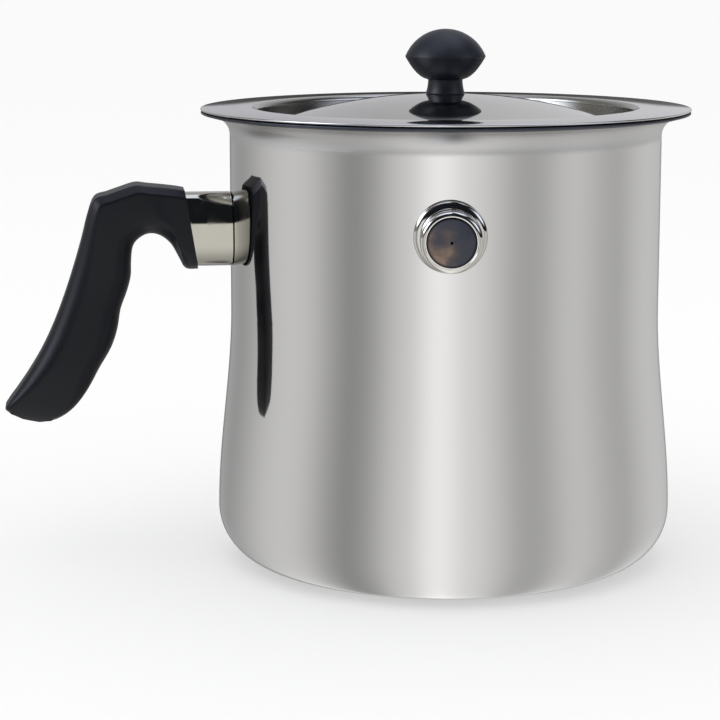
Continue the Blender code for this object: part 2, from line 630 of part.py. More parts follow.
def build_handle_screw(parts, cutters, steel):
    """The screw through the grip, and the spring washer under its head."""
    hole = HANDLE_SCREW_RADIUS + SEAT_GAP
    profile = [(hole, HANDLE_WASHER_THICKNESS), (HANDLE_SCREW_HEAD_RADIUS, HANDLE_WASHER_THICKNESS)]
    profile += [(radius, 0) for radius, height in profile[::-1]]
    washer = make_turned("handle_washer", profile, parts, steel, SCREW_STEPS, closed=True)
    place_on_handle_screw(washer, WALL_RADIUS + HANDLE_SCREW_SEAT + SEAT_GAP)
    screw = make_screw("handle_screw", HANDLE_SCREW_RADIUS, HANDLE_SCREW_LENGTH, HANDLE_SCREW_HEAD_RADIUS,
                       HANDLE_SCREW_HEAD_HEIGHT, parts, cutters, steel)
    screw.location = (-HANDLE_SCREW_HEAD_SEAT, 0, HANDLE_SCREW_HEIGHT)
    screw.rotation_euler = (0, pi / 2, 0)


def build_milk_boiler():
    """Build every piece."""
    clear_scene()
    parts = make_collection("milk_boiler")
    cutters = make_collection("cutters")
    mirror_steel = make_material("mirror polished steel", (0.62, 0.61, 0.60), 0.08, 1)
    plain_steel = make_material("plain steel", (0.50, 0.50, 0.50), 0.3, 1)
    phenolic = make_material("black phenolic", (0.012, 0.013, 0.016), 0.35, 0)
    brass = make_material("brass", (0.70, 0.48, 0.20), 0.3, 1)
    rubber = make_material("black silicone rubber", (0.02, 0.02, 0.02), 0.6, 0)
    build_outer_shell(parts, cutters, mirror_steel)
    build_inner_vessel(parts, mirror_steel)
    build_lid(parts, mirror_steel)
    build_knob(parts, phenolic)
    build_knob_insert(parts, brass)
    build_knob_screw(parts, cutters, plain_steel)
    build_filler_socket(parts, cutters, mirror_steel)
    build_filler_seal(parts, rubber)
    build_filler_cap(parts, mirror_steel)
    build_whistle_disc(parts, brass)
    build_ferrule(parts, mirror_steel)
    build_handle_grip(parts, cutters, phenolic)
    build_handle_bracket(parts, cutters, plain_steel)
    build_handle_screw(parts, cutters, plain_steel)


build_milk_boiler()
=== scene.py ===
# %% [markdown]
# # A double-walled milk boiler
#
# The pot is a shell of polished stainless steel with a second pot inside it. Water goes in between the two
# through a filler on the front, so that milk can't burn. This lesson dresses the pot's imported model: each
# piece is modelled again by hand, finer than the solid that it stands for, and gets the finish of the real one.

# %% Load the frame
from math import atan, copysign, cos, hypot, pi, radians, sin, sqrt

import bpy
from mathutils import Matrix, Vector


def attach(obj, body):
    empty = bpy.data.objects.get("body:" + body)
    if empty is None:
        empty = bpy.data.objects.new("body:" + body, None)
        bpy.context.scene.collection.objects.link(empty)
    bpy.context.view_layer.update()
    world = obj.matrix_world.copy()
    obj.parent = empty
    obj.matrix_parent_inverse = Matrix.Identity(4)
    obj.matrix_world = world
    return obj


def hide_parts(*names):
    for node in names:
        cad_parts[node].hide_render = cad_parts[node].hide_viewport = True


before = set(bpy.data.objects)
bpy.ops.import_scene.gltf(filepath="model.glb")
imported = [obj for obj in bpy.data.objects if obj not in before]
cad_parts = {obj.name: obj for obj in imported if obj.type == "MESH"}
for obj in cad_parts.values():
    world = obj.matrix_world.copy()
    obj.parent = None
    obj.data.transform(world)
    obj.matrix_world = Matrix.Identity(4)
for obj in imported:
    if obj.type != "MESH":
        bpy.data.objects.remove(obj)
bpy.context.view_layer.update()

print("nodes:", ", ".join(sorted(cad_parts)))

# %% [markdown]
# ## The pot's sizes
#
# Every length is written in millimetres. Cross-sections are drawn in them, so the sizes that they need are plain
# numbers, and what is wanted in Blender's metres is multiplied by one value. Heights are measured from the face
# that the pot stands on, and the pot's axis is the Z axis. The handle points along -X.

# %% Sizes
MM = 0.001
Z_AXIS = Vector((0, 0, 1))
SHEET = 0.8
SEAT_GAP = 0.3
WALL_RADIUS = 77.8
LEDGE_HEIGHT = 158
SCREW_HEIGHT = 127.9
FILLER_HEIGHT = 127.5
FILLER_ANGLE = radians(82.5)

filler_outward = Vector((-cos(FILLER_ANGLE), -sin(FILLER_ANGLE), 0))
filler_middle = filler_outward * (WALL_RADIUS * MM) + Z_AXIS * (FILLER_HEIGHT * MM)
print("filler faces", tuple(round(v, 3) for v in filler_outward))

# %% [markdown]
# ## The camera
#
# The photograph was taken from about 0.86 m away with a long lens, a little above the rim and a little to the
# handle's side of the filler. The lens is worked out from how the rim's ellipse and the base's curve fit
# together. The pot isn't in the middle of the picture, so the camera is turned, and the sensor isn't shifted.

# %% Camera
PICTURE_WIDTH = 720
CAMERA_DISTANCE = 860 * MM
CAMERA_HEIGHT = 223.5 * MM
CAMERA_TILT = radians(9.97)
CAMERA_AZIMUTH = radians(9)
FOCAL_PIXELS = 2372.6
AXIS_PIXEL = 443.6
SENSOR_WIDTH = 36
NEAREST_SEEN = 10 * MM

toward_camera = Vector((-sin(CAMERA_AZIMUTH), -cos(CAMERA_AZIMUTH), 0))
to_the_right = Vector((cos(CAMERA_AZIMUTH), -sin(CAMERA_AZIMUTH), 0))
yaw = atan((AXIS_PIXEL - PICTURE_WIDTH / 2) / FOCAL_PIXELS / cos(CAMERA_TILT))
level_look = -toward_camera * cos(yaw) - to_the_right * sin(yaw)
look = (level_look * cos(CAMERA_TILT) - Z_AXIS * sin(CAMERA_TILT)).normalized()
right = look.cross(Z_AXIS).normalized()
turned = Matrix((right, right.cross(look), -look)).transposed().to_4x4()

camera_data = bpy.data.cameras.new("camera")
camera_data.lens = FOCAL_PIXELS * SENSOR_WIDTH / PICTURE_WIDTH
camera_data.sensor_width = SENSOR_WIDTH
camera_data.clip_start = NEAREST_SEEN
camera = bpy.data.objects.new("camera", camera_data)
bpy.context.scene.collection.objects.link(camera)
camera.matrix_world = Matrix.Translation(toward_camera * CAMERA_DISTANCE + Z_AXIS * CAMERA_HEIGHT) @ turned
bpy.context.scene.camera = camera
print("lens", round(camera_data.lens, 1), "mm")

# %% [markdown]
# ## Colours and nodes
#
# Colours are written as the sRGB hex values that a colour picker shows, and one function makes them linear.
# A second small function adds a node, sets its options, and gives its sockets a value or a link. Every
# material and the studio are built with it. A socket goes by its name, with underscores for spaces, or by its
# place, so that `_0` is the first. The part that fills the sockets also serves a material's main shader.

# %% Helpers for materials
def linear(hex_colour):
    """An sRGB hex colour as linear red, green, blue and alpha."""
    shares = [int(hex_colour[i:i + 2], 16) / 255 for i in (1, 3, 5)]
    return (*[s / 12.92 if s <= 0.04045 else ((s + 0.055) / 1.055) ** 2.4 for s in shares], 1)


def set_sockets(node, **sockets):
    """Give a node's sockets a value, or a link from an output. A node stands for its first output."""
    for name, value in sockets.items():
        socket = node.inputs[int(name[1:])] if name[0] == "_" else node.inputs[name.replace("_", " ")]
        if isinstance(value, bpy.types.Node):
            value = value.outputs[0]
        if isinstance(value, bpy.types.NodeSocket):
            node.id_data.links.new(value, socket)
        else:
            socket.default_value = value


def add_node(tree, kind, options=None, **sockets):
    """Add a shader node and fill its sockets. Options are its own settings, or the name of its operation."""
    node = tree.nodes.new("ShaderNode" + kind)
    if isinstance(options, str):
        options = {"operation": options}
    for name, value in (options or {}).items():
        if name == "stops":
            while len(node.color_ramp.elements) < len(value):
                node.color_ramp.elements.new(1)
            for element, (position, colour) in zip(node.color_ramp.elements, value):
                element.position = position
                element.color = colour
        else:
            setattr(node, name, value)
    set_sockets(node, **sockets)
    return node


print("helpers ready:", linear("#808080")[0])

# %% [markdown]
# ## The studio
#
# Polished steel has no colour of its own: it shows the room. A photographer hangs soft cards round the pot,
# and each is seen as a soft upright band on the wall. The bands of the photograph need a tall key card
# behind the camera, one card on each side, one behind on the right, and a black flag between key and left card.
# Only polished surfaces see them. Everything else is lit evenly, at a strength where a colour renders as it is
# written.
#
# The cards bend in under the pot, so that their bands run straight down to its base. That is why a card's
# place is given by the azimuth of the upright surface that mirrors it to the camera, doubled, and not by its own.
# Straight behind the pot the two azimuths are the same, and the doubled one has a crease that only other views
# would show, so the plain one takes over there, by the share of the direction that points away from the camera.

# %% The cards round the pot
ROOM_GREY = 0.43
PLAIN_FROM = 0.8
PLAIN_AT = 0.95
CARDS = {  # azimuth from the camera, half width to where the card fades out (degrees), brightness
    "key": (1, 55, 0.68),
    "key core": (-3, 16, 0.19),
    "black flag": (-52, 28, -0.14),
    "left": (-88, 56, 0.41),
    "right": (72, 37, 0.37),
    "back right": (132, 54, 0.34),
    "foot of the backdrop": (180, 24, -0.4),
}

world = bpy.data.worlds.new("studio")
bpy.context.scene.world = world
world.use_nodes = True
studio = world.node_tree
studio.nodes.clear()
place = add_node(studio, "TexCoord").outputs["Generated"]
faced = add_node(studio, "VectorRotate", {"rotation_type": "Z_AXIS"}, Vector=place, Angle=CAMERA_AZIMUTH)
axes = add_node(studio, "SeparateXYZ", Vector=faced)
aside, behind, up = axes.outputs
forward = add_node(studio, "Math", "MULTIPLY", _0=behind, _1=-1)
azimuth = add_node(studio, "Math", "ARCTAN2", _0=aside, _1=forward)
halfway = add_node(studio, "Math", "SUBTRACT", _0=cos(CAMERA_TILT), _1=behind)
in_front = add_node(studio, "Math", "MAXIMUM", _0=halfway, _1=0)
mirror = add_node(studio, "Math", "ARCTAN2", _0=aside, _1=in_front)
doubled = add_node(studio, "Math", "MULTIPLY", _0=mirror, _1=2)
smooth = {"interpolation_type": "SMOOTHSTEP"}
far_behind = add_node(studio, "MapRange", smooth, _0=behind, _1=PLAIN_FROM, _2=PLAIN_AT)
mirrored = add_node(studio, "Mix", {"data_type": "FLOAT"}, _0=far_behind, _2=doubled, _3=azimuth)


def card_light(tree, direction, card):
    """The brightness that one soft card adds, by the azimuth of the direction looked in."""
    centre, half_width, brightness = card
    away = add_node(tree, "Math", "SUBTRACT", _0=direction, _1=radians(centre))
    wrapped = add_node(tree, "Math", "WRAP", _0=away, _1=pi, _2=-pi)
    distance = add_node(tree, "Math", "ABSOLUTE", _0=wrapped)
    return add_node(tree, "MapRange", smooth, _0=distance, _1=0, _2=radians(half_width), _3=brightness, _4=0)


def sum_of_cards(tree, direction, base, cards):
    """Add up the cards over an even base."""
    total = base
    for card in cards.values():
        light = card_light(tree, direction, card)
        total = add_node(tree, "Math", "ADD", _0=total, _1=light)
    return total


table_light = sum_of_cards(studio, mirrored, ROOM_GREY, CARDS)
print(len(CARDS), "cards")

# %% [markdown]
# The room above the table is seen by the flange, the lid, the ferrule's upper half and all chrome. It is pale
# behind the pot, middling on the left, and dark from a little left of the camera round to the far right. Two
# strip lights stand at the sides, for the edges of the dark parts. A wide soft light hangs overhead, shaded by
# two flags: one in front, for the ferrule's dark upper band, and one behind on the left. `up` is the upward share
# of the direction looked in, 0 at the horizon and 1 straight up, and each part of the room fades in by it.

# %% The room above the table
ROOM = {  # colour by azimuth from the camera, in degrees
    -180: "#c8c8cc", -174: "#c0c0c5", -164: "#c9cace", -122: "#8c8c88", -91: "#979691", -60: "#979691",
    -40: "#4f4f50", -20: "#1f2126", 98: "#1a1c20", 120: "#59595a", 150: "#cbccce", 172: "#d5d5d9", 180: "#c8c8cc",
}
OVERHEAD_LIGHT = (1.3, 1.42, 1.7, 1)
# strips and flags are given as the cards are
STRIP_LIGHTS = {"left strip": (-70, 30, 7), "right strip": (66, 36, 1.8)}
STRIP_COLOUR = (0.9, 0.97, 1.15)
OVERHEAD_FLAGS = {"over the ferrule": (22, 27, -1.6), "behind on the left": (-125, 50, -0.85)}
FADES = {  # values of `up` where a part starts and where it is whole; the strips' heads fade downward
    "strip foot": (0.15, 0.35), "strip head": (0.68, 0.52), "overhead": (0.78, 0.9), "room": (0.03, 0.06),
}

round_room = add_node(studio, "MapRange", _0=azimuth, _1=-pi, _2=pi)
room = add_node(studio, "ValToRGB", {"stops": [((a + 180) / 360, linear(c)) for a, c in ROOM.items()]},
                Fac=round_room)
strip_foot, strip_head, high, above_table = [
    add_node(studio, "MapRange", smooth, _0=up, _1=start, _2=whole)
    for start, whole in FADES.values()]
strips = sum_of_cards(studio, azimuth, 0, STRIP_LIGHTS)
strip_height = add_node(studio, "Math", "MULTIPLY", _0=strip_foot, _1=strip_head)
high_strips = add_node(studio, "Math", "MULTIPLY", _0=strips, _1=strip_height)
strip_light = add_node(studio, "VectorMath", "SCALE", _0=STRIP_COLOUR, Scale=high_strips)
lit_room = add_node(studio, "Mix", {"data_type": "RGBA", "blend_type": "ADD"}, _0=1, _6=room, _7=strip_light)
flags = sum_of_cards(studio, azimuth, 1, OVERHEAD_FLAGS)
overhead = add_node(studio, "Math", {"operation": "MULTIPLY", "use_clamp": True}, _0=high, _1=flags)
roofed = add_node(studio, "Mix", {"data_type": "RGBA"}, _0=overhead, _6=lit_room.outputs[2], _7=OVERHEAD_LIGHT)
seen = add_node(studio, "Mix", {"data_type": "RGBA"}, _0=above_table, _6=table_light, _7=roofed.outputs[2])
rays = add_node(studio, "LightPath")
white = linear("#ffffff")
sky = add_node(studio, "Mix", {"data_type": "RGBA"}, _0=rays.outputs["Is Glossy Ray"], _6=white, _7=seen.outputs[2])
background = add_node(studio, "Background", Color=sky.outputs[2], Strength=1)
add_node(studio, "OutputWorld", Surface=background)
print("studio nodes:", len(studio.nodes))

# %% [markdown]
# ## The table and the lamp
#
# The table is a plain white sheet that runs to the horizon. It is lit by the room, and a little light of its
# own, which only the camera sees, lifts it to the white of the photograph while the pot's soft shadow stays.
# Polished surfaces don't see the table, because they see the cards that stand on it. It lies a tenth of a
# millimetre under the base, because two faces in one plane would flicker. One wide soft lamp overhead gives the
# shadow its place under the pot. The table's and the lamp's sizes are in metres.

# %% Table and lamp
TABLE_SIZE = 40
TABLE_LIFT = 0.35
TABLE_DROP = 0.1 * MM
TABLE_WHITE = "#cccccc"
LAMP_SIZE = 1.2
LAMP_WATTS = 3
LAMP_PLACE = Vector((-0.3, -0.5, 1.5))
LAMP_AIM = Vector((0, 0, 0.1))

bpy.ops.object.select_all(action="DESELECT")
bpy.ops.mesh.primitive_plane_add(size=TABLE_SIZE, location=(0, 0, -TABLE_DROP))
table = bpy.context.object
table.name = "table"
table.visible_glossy = False
sheet = bpy.data.materials.new("white acrylic sheet, matt")
sheet.use_nodes = True
tree = sheet.node_tree
tree.nodes.clear()
rays = add_node(tree, "LightPath")
white_paint = add_node(tree, "BsdfDiffuse", Color=linear(TABLE_WHITE))
lift = add_node(tree, "Math", "MULTIPLY", _0=rays.outputs["Is Camera Ray"], _1=TABLE_LIFT)
glow = add_node(tree, "Emission", Color=white, Strength=lift)
both = add_node(tree, "AddShader", _0=white_paint, _1=glow)
add_node(tree, "OutputMaterial", Surface=both)
table.data.materials.append(sheet)

lamp_data = bpy.data.lights.new("soft lamp", "AREA")
lamp_data.size = LAMP_SIZE
lamp_data.energy = LAMP_WATTS
lamp = bpy.data.objects.new("soft lamp", lamp_data)
bpy.context.scene.collection.objects.link(lamp)
lamp.location = LAMP_PLACE
lamp.rotation_euler = (LAMP_AIM - LAMP_PLACE).to_track_quat("-Z", "Y").to_euler()
lamp.visible_glossy = False
bpy.context.scene.view_settings.view_transform = "Standard"
print("table and lamp ready")

# %% [markdown]
# ## Drawing and turning
#
# Every round piece starts as the line of its cross-section. The line is drawn as by hand: one vertex is placed,
# and extruded from point to point. Outlines are lists of (radius, height) in millimetres, and an arc in one is
# given by its centre, its radius and the two angles that it runs between, 0 pointing outward and 90 upward.

# %% Outlines
EDGE_STEPS = 8


def arc(centre, radius, start, end, steps=10):
    """Points on an arc, both ends included. Angles are in degrees."""
    angles = [radians(start + (end - start) * i / steps) for i in range(steps + 1)]
    return [(centre[0] + radius * cos(a), centre[1] + radius * sin(a)) for a in angles]


def eased(start, corner, end, steps=8):
    """Points on a soft bend from start to end that heads for a corner and turns before it."""
    shares = [i / steps for i in range(steps + 1)]
    return [tuple((1 - t) ** 2 * a + 2 * t * (1 - t) * b + t ** 2 * c for a, b, c in zip(start, corner, end))
            for t in shares]


def both_sides(line, thickness, side):
    """The outline of a sheet: along the line, round a half-round edge at its end, and back on the other side.

    The line runs outward. Side 1 puts the metal on its left, and -1 on its right.
    """
    points = [Vector(point) for point in line]
    runs = [(b - a).normalized() for a, b in zip(points, points[1:])]
    back = []
    for i, point in enumerate(points):
        before, after = runs[max(i - 1, 0)], runs[min(i, len(runs) - 1)]
        middle = (before + after).normalized()
        across = Vector((-middle.y, middle.x)) * side
        back.append(point + across * thickness / middle.dot(after))
    rim = (points[-1] + back[-1]) / 2
    half = (points[-1] - back[-1]) / 2
    angles = [pi * i / EDGE_STEPS for i in range(1, EDGE_STEPS)]
    edge = [rim + half * cos(a) + runs[-1] * half.length * sin(a) for a in angles]
    return [tuple(point) for point in points + edge + back[::-1]]


print("a quarter round of 2 mm:", [tuple(round(c, 2) for c in p) for p in arc((0, 0), 2, 90, 0, 3)])

# %% [markdown]
# `draw` extrudes the line and `turn_on_lathe` spins it. Spinning all the way round leaves a doubled seam, and
# a fan of stacked vertices where the line meets the axis, so doubles are merged before the normals are
# recalculated. A turned wall gets both its sides in the outline, so it doesn't have to be thickened later. Small
# round pieces and the tools that cut holes need fewer steps than the pot.

# %% Draw, then turn
ROUND_STEPS = 360
SMALL_STEPS = 128
HOLE_STEPS = 64
MERGE_DISTANCE = 0.0005 * MM
SHARP_ANGLE = radians(35)


def draw(name, points, closed=False):
    """Place one vertex and extrude it along the points."""
    bpy.ops.object.select_all(action="DESELECT")
    bpy.ops.mesh.primitive_plane_add(size=MM, location=(0, 0, 0))
    piece = bpy.context.object
    piece.name = piece.data.name = name
    bpy.ops.object.mode_set(mode="EDIT")
    bpy.ops.mesh.merge(type="CENTER")
    bpy.ops.transform.translate(value=points[0])
    for start, end in zip(points, points[1:] + points[:1] if closed else points[1:]):
        bpy.ops.mesh.extrude_region_move(TRANSFORM_OT_translate={"value": Vector(end) - Vector(start)})
    bpy.ops.mesh.select_all(action="SELECT")
    return piece


def clean_up():
    """Merge doubles, turn the faces outward and smooth the piece that is being edited."""
    bpy.ops.mesh.select_all(action="SELECT")
    bpy.ops.mesh.remove_doubles(threshold=MERGE_DISTANCE)
    bpy.ops.mesh.normals_make_consistent(inside=False)
    bpy.ops.object.mode_set(mode="OBJECT")
    bpy.ops.object.shade_smooth_by_angle(angle=SHARP_ANGLE)


def turn_on_lathe(name, outline, closed=False, steps=ROUND_STEPS):
    """Draw half a cross-section and spin it round the Z axis."""
    piece = draw(name, [(radius * MM, 0, height * MM) for radius, height in outline], closed)
    bpy.ops.mesh.spin(steps=steps, angle=2 * pi, center=(0, 0, 0), axis=(0, 0, 1))
    clean_up()
    return piece


def pick(piece):
    """Select one piece alone."""
    bpy.ops.object.select_all(action="DESELECT")
    piece.select_set(True)
    bpy.context.view_layer.objects.active = piece


def move_to(piece, place, outward=Z_AXIS):
    """Stand a piece at a place with its Z axis pointing outward, and put that in its mesh."""
    piece.matrix_world = Matrix.Translation(place) @ outward.to_track_quat("Z", "Y").to_matrix().to_4x4()
    pick(piece)
    bpy.ops.object.transform_apply(location=True, rotation=True, scale=True)
    return piece


def apply_modifier(piece, kind, **settings):
    """Give a piece a modifier with its settings, and apply it."""
    pick(piece)
    modifier = piece.modifiers.new(kind.lower(), kind)
    for name, value in settings.items():
        setattr(modifier, name, value)
    bpy.ops.object.modifier_apply(modifier=modifier.name)


def combine(piece, tool, operation):
    """Cut the piece with a tool, or join the tool to it, and delete the tool."""
    apply_modifier(piece, "BOOLEAN", object=tool, operation=operation, solver="EXACT")
    bpy.data.objects.remove(tool, do_unlink=True)
    bpy.ops.object.shade_smooth_by_angle(angle=SHARP_ANGLE)


def finish_piece(piece, material, body, node):
    """Give a piece its material and its body, and let it stand for its CAD node."""
    piece.data.materials.clear()
    piece.data.materials.append(material)
    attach(piece, body)
    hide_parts(node)
    triangles = sum(len(face.vertices) - 2 for face in piece.data.polygons)
    print(piece.name, triangles, "triangles")


print("turned pieces get", ROUND_STEPS, "steps")

# %% [markdown]
# ## Polished steel
#
# The pot is 18/10 stainless steel, pressed, welded and polished to a mirror on soft wheels. Polishing leaves
# hair-fine lines along the way the wheel ran: up and down on the wall, and round the axis on the flange and the
# lid. They are too fine to be seen one by one, so they are drawn about 0.7 mm wide and 0.6 microns deep, which
# makes the reflections of the cards waver slightly from line to line. Most of a noise's values lie between 0.3
# and 0.7, so every pattern here is spread from there.

# %% Mirror-polished stainless steel
STEEL = "#cecdcc"
LINE_WIDTH = 0.7 * MM
LINE_LENGTH = 60 * MM
LINE_DEPTH = 0.0006 * MM
NOISE_LOW = 0.3
NOISE_HIGH = 0.7


def start_material(name):
    """A new material with its node tree and its main shader."""
    material = bpy.data.materials.new(name)
    material.use_nodes = True
    tree = material.node_tree
    return material, tree, tree.nodes["Principled BSDF"]


def height_and_reach(tree):
    """A point's height, and its distance from the pot's axis."""
    place = add_node(tree, "TexCoord").outputs["Object"]
    flat = add_node(tree, "VectorMath", "MULTIPLY", _0=place, _1=(1, 1, 0))
    reach = add_node(tree, "VectorMath", "LENGTH", _0=flat)
    return add_node(tree, "SeparateXYZ", Vector=place).outputs["Z"], reach.outputs["Value"]


def polished_steel(name, colour, roughness, lines):
    """Mirror-polished stainless steel. Lines are UPRIGHT, or ROUND about the Z axis."""
    material, tree, shader = start_material(name)
    if lines == "ROUND":
        height, reach = height_and_reach(tree)
        place = add_node(tree, "CombineXYZ", X=reach, Y=0, Z=height)
        repeats = (1 / LINE_WIDTH, 1, 1 / LINE_WIDTH)
    else:
        place = add_node(tree, "TexCoord").outputs["Object"]
        repeats = (1 / LINE_WIDTH, 1 / LINE_WIDTH, 1 / LINE_LENGTH)
    scaled = add_node(tree, "Mapping", Vector=place, Scale=repeats)
    hairs = add_node(tree, "TexNoise", Vector=scaled, Scale=1, Detail=2, Roughness=0.6)
    gloss = add_node(tree, "MapRange", _0=hairs, _1=NOISE_LOW, _2=NOISE_HIGH, _3=roughness * 0.7, _4=roughness * 1.3)
    bump = add_node(tree, "Bump", Strength=1, Distance=LINE_DEPTH, Height=hairs)
    set_sockets(shader, Metallic=1, Base_Color=linear(colour), Roughness=gloss, Normal=bump)
    return material


lid_steel = polished_steel("stainless steel, mirror polished round the axis", "#cecdc8", roughness=0.06, lines="ROUND")
print("steel line pattern:", LINE_WIDTH / MM, "mm wide")

# %% [markdown]
# The polishing wheel can't reach into the flare under the rim, nor into the recess round the lid, so the steel
# turns from mirror to satin there, and nothing is mirrored clearly. The recess wall is also painted a darker grey,
# as shade, and a dark line of shade is painted under the shell's edge.

# %% Satin where the wheel can't reach
FLARE_ROUGHNESS = 0.42
RECESS_ROUGHNESS = 0.2
FLARE_MIRROR = 152 * MM
FLARE_SATIN = 156.5 * MM
RECESS_MIRROR = 70.2 * MM
RECESS_SATIN = 69.2 * MM
RIM_SHADE_LOW = 162.4 * MM
RIM_SHADE_HIGH = 162.7 * MM
RIM_SHADE_IN = 84.7 * MM
RIM_SHADE_OUT = 85.5 * MM
RECESS_SHADE_LOW = 156.5 * MM


def turn_satin(material, satin_roughness, measure, mirror_at, satin_at):
    """Let a mirror polish fade to satin where a measure goes from one value to another."""
    tree = material.node_tree
    shader = tree.nodes["Principled BSDF"]
    polish = shader.inputs["Roughness"].links[0].from_socket
    satin = add_node(tree, "MapRange", smooth, _0=measure, _1=mirror_at, _2=satin_at, _4=satin_roughness)
    set_sockets(shader, Roughness=add_node(tree, "Math", "MAXIMUM", _0=polish, _1=satin))


def paint_shade_into_steel(material, share, tint):
    """Mix a painted shade into the steel's colour by a share."""
    shader = material.node_tree.nodes["Principled BSDF"]
    plain = tuple(shader.inputs["Base Color"].default_value)
    mixed = add_node(material.node_tree, "Mix", {"data_type": "RGBA"}, _0=share, _6=plain, _7=linear(tint))
    set_sockets(shader, Base_Color=mixed.outputs[2])


shell_steel = polished_steel("stainless steel, mirror polished, satin in the flare", STEEL,
                             roughness=0.05, lines="UPRIGHT")
tree = shell_steel.node_tree
height, reach = height_and_reach(tree)
turn_satin(shell_steel, FLARE_ROUGHNESS, height, FLARE_MIRROR, FLARE_SATIN)
# The dark line under the shell's edge is painted shade.
high = add_node(tree, "MapRange", _0=height, _1=RIM_SHADE_LOW, _2=RIM_SHADE_HIGH)
outer = add_node(tree, "MapRange", _0=reach, _1=RIM_SHADE_IN, _2=RIM_SHADE_OUT)
painted_rim_shade = add_node(tree, "Math", "MULTIPLY", _0=high, _1=outer)
paint_shade_into_steel(shell_steel, painted_rim_shade, "#4a4c54")

vessel_steel = polished_steel("stainless steel, mirror polished, satin in the recess", STEEL,
                              roughness=0.06, lines="ROUND")
tree = vessel_steel.node_tree
height, reach = height_and_reach(tree)
turn_satin(vessel_steel, RECESS_ROUGHNESS, reach, RECESS_MIRROR, RECESS_SATIN)
# The recess wall's darker grey is painted shade.
inside = add_node(tree, "MapRange", _0=reach, _1=RECESS_MIRROR, _2=RECESS_SATIN)
high = add_node(tree, "MapRange", _0=height, _1=RECESS_SHADE_LOW, _2=LEDGE_HEIGHT * MM)
painted_recess_shade = add_node(tree, "Math", "MULTIPLY", _0=inside, _1=high)
paint_shade_into_steel(vessel_steel, painted_recess_shade, "#a8a6a1")
print("satin above", FLARE_SATIN / MM, "mm and inside", RECESS_SATIN / MM, "mm from the axis")

# %% [markdown]
# ## The outer shell
#
# The shell is one deep-drawn sheet, 0.8 mm thick: straight below its flared rim, swelling out gently below the
# waist, and turned in round a large corner to the base. The base has one shallow pressed ring. The outline
# follows the outer side from the middle of the base up to the rim. Close beside each place where a straight
# part meets an arc there is a second point, which keeps the arc's shading from running into the straight part.

# %% Shell
WAIST_HEIGHT = 93
BELLY_SWELL = 5.1
BASE_CORNER = 19.7
FLARE_RADIUS = 6.5


def wall_radius_at(height):
    """The shell's outer radius at a height below its waist."""
    share = (WAIST_HEIGHT - height) / (WAIST_HEIGHT - BASE_CORNER)
    return WALL_RADIUS + BELLY_SWELL * share ** 2 * (3 - 2 * share)


base = [(0, 0), (49.2, 0), (49.6, 0.05), (50.4, 0.5), (51, 0.6), (53, 0.6), (53.6, 0.5), (54.4, 0.05),
        (54.8, 0), (62.9, 0)]
base_corner = arc((63.2, BASE_CORNER), BASE_CORNER, -90, 0, 20)
swelling = [(wall_radius_at(height), height) for height in (19.9, 24, 28, 32, 36, 40, 45, 50, 55, 60, 65, 70,
                                                           75, 80, 85, 89, WAIST_HEIGHT)]
straight = [(WALL_RADIUS, height) for height in (93.4, 119, 136, 155.4)]
flare = arc((WALL_RADIUS + FLARE_RADIUS, 155.7), FLARE_RADIUS, 180, 104.5, 12)
shell_line = base + base_corner + swelling + straight + flare + [(83.2, 162.13), (87.8, 163.32)]
shell = turn_on_lathe("shell", both_sides(shell_line, SHEET, 1))

# %% [markdown]
# The filler's tube passes through a round hole, drilled here with a cylinder that lies along the filler's
# axis and is then cut out of the wall. The two rings of points above and below the hole keep the cut's small
# faces under the filler's ring.

# %% Filler hole
HOLE_RADIUS = 8.3
DRILL_REACH = 5


def stand_on_filler(piece):
    """Move a piece from the origin to the wall, with its Z axis along the filler's axis."""
    return move_to(piece, filler_middle, filler_outward)


drill_line = [(0, DRILL_REACH), (HOLE_RADIUS, DRILL_REACH), (HOLE_RADIUS, -DRILL_REACH), (0, -DRILL_REACH)]
drill = turn_on_lathe("drill", drill_line, steps=HOLE_STEPS)
combine(shell, stand_on_filler(drill), "DIFFERENCE")
finish_piece(shell, shell_steel, "pot", "outer_shell")

# %% [markdown]
# ## The inner vessel
#
# The milk's own pot hangs in the shell by its wide flange, which is welded to the flare all round. Inside the
# flange a rounded lip drops to a ledge that the lid lies on. The edges of the two sheets are half-round, and
# they are seen one above the other at the rim, as a bright line over a dark one.

# %% Vessel
floor_corner = arc((42.5, 37), 22, -90, 0, 16)
ledge_lip = arc((66, 156.5), 1.5, 180, 90, 8)
ledge_corner = arc((67.3, 158.8), 0.8, -90, 0, 6)
lip = arc((70.1, 163.6), 2, 180, 90, 12)
vessel_line = [(0, 15), (42.1, 15)] + floor_corner + [(64.5, 37.4), (64.5, 156.2)] + ledge_lip + ledge_corner
vessel_line += lip + [(70.5, 165.595), (87.8, 165.3)]
vessel = turn_on_lathe("vessel", both_sides(vessel_line, SHEET, -1))
finish_piece(vessel, vessel_steel, "pot", "inner_vessel")

# %% [markdown]
# ## The lid
#
# The lid is a shallow dome of 0.7 mm sheet, pressed with a soft bend to a narrow flat edge. It is lower than the
# flange, so from this height its far side shows the lip's reflection. A hole in its middle takes the knob's
# screw.

# %% Lid
LID_SHEET = 0.7
DOME_RADIUS = 197
DOME_FOOT = 65


def dome_height(radius):
    """The height of the lid's top side at a distance from its middle."""
    rise = sqrt(DOME_RADIUS ** 2 - radius ** 2) - sqrt(DOME_RADIUS ** 2 - DOME_FOOT ** 2)
    return LEDGE_HEIGHT + SEAT_GAP + LID_SHEET + rise


dome = [(radius, dome_height(radius)) for radius in (2.3, 3, 8, 14, 20, 26, 32, 38, 44, 50, 55, 59, 62)]
edge_height = dome_height(DOME_FOOT)
brim = eased((63.2, dome_height(63.2)), (DOME_FOOT, edge_height), (66.6, edge_height)) + [(66.95, edge_height)]
lid = turn_on_lathe("lid_dome", both_sides(dome + brim, LID_SHEET, -1), closed=True)
finish_piece(lid, lid_steel, "lid", "lid")

